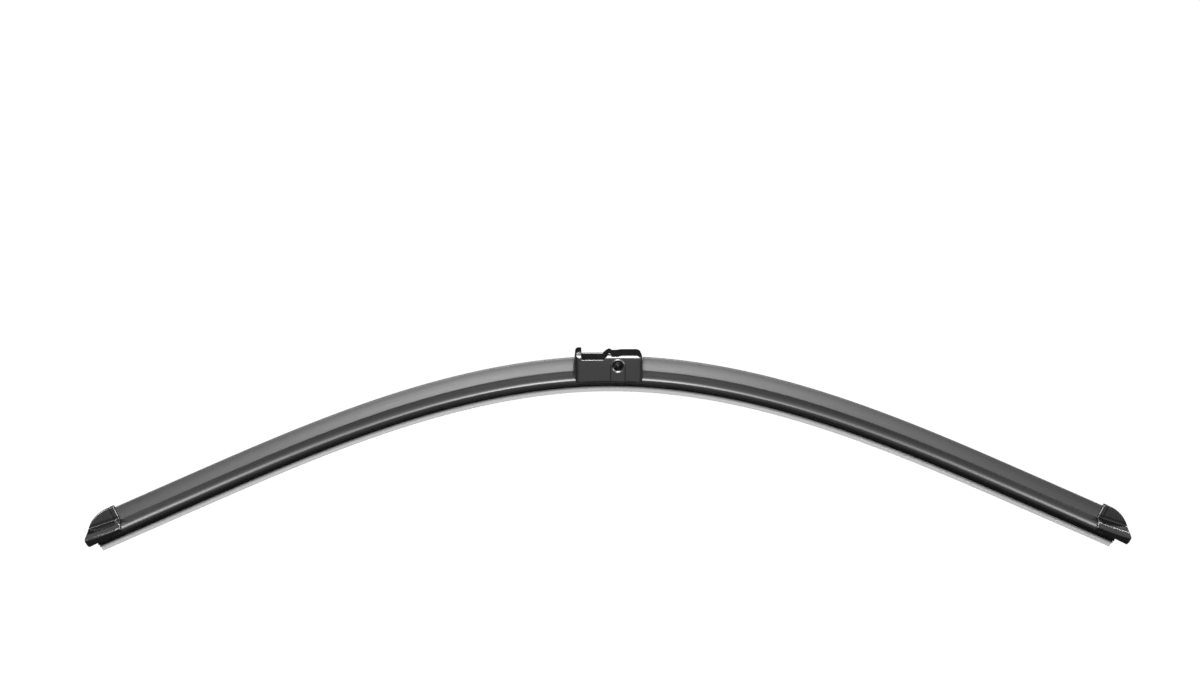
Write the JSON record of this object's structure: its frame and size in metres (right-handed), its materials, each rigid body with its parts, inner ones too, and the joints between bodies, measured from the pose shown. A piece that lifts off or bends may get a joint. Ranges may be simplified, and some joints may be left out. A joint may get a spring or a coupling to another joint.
{
  "type": "flat wiper blade",
  "caption": "Flat wiper blade: rubber squeegee on bowed spring rails, hollow spoiler each side of a moulded housing with a side bore for the arm's pin, and end caps.",
  "frame": {"origin": "where the axis of the arm pin's bore crosses the blade's middle plane", "axes": "+X along the blade, towards the closed end of the housing's deck; +Y to the rear, away from the bore's mouth; +Z away from the glass"},
  "size_m": [0.5792, 0.0145, 0.1164],
  "materials": {
    "squeegee_rubber": "matt moulded rubber, paler on the coated lip",
    "rail_steel": "black coated spring steel",
    "spoiler_plastic": "satin extruded elastomer, dark grey",
    "clamp_steel": "black coated sheet steel",
    "housing_plastic": "fine spark-eroded texture, black",
    "cap_plastic": "polished mould finish, black"
  },
  "bodies": {
    "root": {"squeegee": "squeegee_rubber", "front_rail": "rail_steel", "rear_rail": "rail_steel", "left_spoiler": "spoiler_plastic", "right_spoiler": "spoiler_plastic", "rail_clamp": "clamp_steel", "connector_housing": "housing_plastic", "left_end_cap": "cap_plastic", "right_end_cap": "cap_plastic"}
  },
  "joints": []
}
